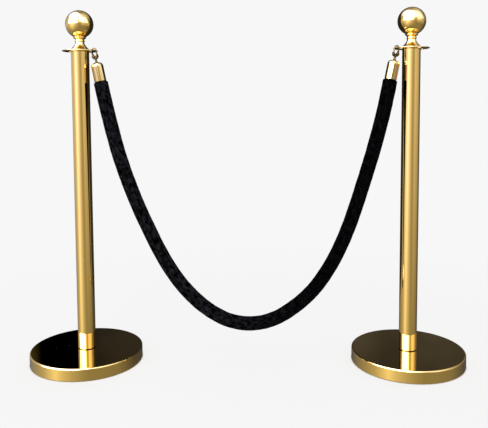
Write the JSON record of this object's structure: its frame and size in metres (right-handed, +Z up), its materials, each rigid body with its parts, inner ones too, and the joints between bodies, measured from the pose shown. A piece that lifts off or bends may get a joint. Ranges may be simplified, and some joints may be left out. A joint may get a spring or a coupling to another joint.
{
  "type": "rope barrier stanchion set",
  "caption": "Gold ball-top rope posts on round weighted bases, joined by a black velvet rope with domed end caps and sprung swivel snap hooks, to mark off a queue or doorway.",
  "frame": {"origin": "on the floor, midway between the two posts", "axes": "+X from the left post to the right post, +Y away from the viewer, +Z up; the rope hangs in an upright plane just in front of the posts"},
  "size_m": [1.206, 0.308, 0.9705],
  "materials": {
    "gold_tube": "polished gold-plated steel tube with fine polishing lines",
    "gold_base": "mirror-polished gold-plated steel cover",
    "gold_cast": "polished brass-gold casting",
    "gold_small": "bright gold die-casting, slightly soft edges",
    "cast_iron": "black-painted sand casting",
    "rubber": "matt black moulded rubber",
    "steel": "plain zinc-plated steel",
    "spring_steel": "drawn spring wire",
    "nylon": "natural nylon",
    "wood": "turned hardwood",
    "core": "cotton-wrapped padding cord",
    "velvet": "deep black cut-pile velvet with a soft grey sheen"
  },
  "bodies": {
    "stands": {"left_floor_ring": "rubber", "left_base_weight": "cast_iron", "left_base_cover": "gold_base", "left_post_tube": "gold_tube", "left_foot_plug": "steel", "left_base_bolt": "steel", "left_base_washer": "steel", "left_head_plug": "steel", "left_rope_ring": "gold_cast", "left_finial_stud": "steel", "right_floor_ring": "rubber", "right_base_weight": "cast_iron", "right_base_cover": "gold_base", "right_post_tube": "gold_tube", "right_foot_plug": "steel", "right_base_bolt": "steel", "right_base_washer": "steel", "right_head_plug": "steel", "right_rope_ring": "gold_cast", "right_finial_stud": "steel"},
    "rope": {"rope_sleeve": "velvet", "rope_core": "core", "left_swivel_stud": "gold_small", "left_end_cap": "gold_cast", "left_end_plug": "wood", "right_swivel_stud": "gold_small", "right_end_cap": "gold_cast", "right_end_plug": "wood"},
    "left_washer": {"left_finial_washer": "nylon"},
    "left_finial": {"left_finial_neck": "gold_cast", "left_finial_ball": "gold_cast"},
    "left_hook": {"left_snap_hook": "gold_small", "left_gate_pin": "steel", "left_gate_spring": "spring_steel"},
    "left_gate": {"left_hook_gate": "gold_small"},
    "right_washer": {"right_finial_washer": "nylon"},
    "right_finial": {"right_finial_neck": "gold_cast", "right_finial_ball": "gold_cast"},
    "right_hook": {"right_snap_hook": "gold_small", "right_gate_pin": "steel", "right_gate_spring": "spring_steel"},
    "right_gate": {"right_hook_gate": "gold_small"}
  },
  "joints": [
    {"name": "rope_swing", "type": "hinge", "parent": "stands", "child": "rope", "pos_m": [0, -0.01539, 0.861], "axis": [1, 0, 0], "range_deg": [-25, 25]},
    {"name": "left_hook_swivel", "type": "hinge", "parent": "rope", "child": "left_hook", "pos_m": [-0.40641, -0.01539, 0.85943], "axis": [-0.1908, 0, 0.9816], "range_deg": [-15, 15]},
    {"name": "left_gate_hinge", "type": "hinge", "parent": "left_hook", "child": "left_gate", "pos_m": [-0.40954, -0.01324, 0.84507], "axis": [0.3413, 0.9376, 0.0663], "range_deg": [0, 35], "stiffness_Nm_per_rad": 0.01, "springref_deg": -34.38},
    {"name": "left_finial_rise", "type": "slide", "parent": "stands", "child": "left_washer", "axis": [0, 0, 1], "range_m": [0, 0.006]},
    {"name": "left_finial_turn", "type": "hinge", "parent": "left_washer", "child": "left_finial", "pos_m": [-0.449, 0, 0.9], "axis": [0, 0, 1], "range_deg": [0, 1440]},
    {"name": "right_hook_swivel", "type": "hinge", "parent": "rope", "child": "right_hook", "pos_m": [0.40641, -0.01539, 0.85943], "axis": [0.1908, 0, 0.9816], "range_deg": [-15, 15]},
    {"name": "right_gate_hinge", "type": "hinge", "parent": "right_hook", "child": "right_gate", "pos_m": [0.40954, -0.01324, 0.84507], "axis": [0.3413, -0.9376, -0.0663], "range_deg": [0, 35], "stiffness_Nm_per_rad": 0.01, "springref_deg": -34.38},
    {"name": "right_finial_rise", "type": "slide", "parent": "stands", "child": "right_washer", "axis": [0, 0, 1], "range_m": [0, 0.006]},
    {"name": "right_finial_turn", "type": "hinge", "parent": "right_washer", "child": "right_finial", "pos_m": [0.449, 0, 0.9], "axis": [0, 0, 1], "range_deg": [0, 1440]}
  ],
  "couplings": [
    {"joint": "left_finial_rise", "follows": "left_finial_turn", "m_per_rad": 0.0002387},
    {"joint": "right_finial_rise", "follows": "right_finial_turn", "m_per_rad": 0.0002387}
  ]
}
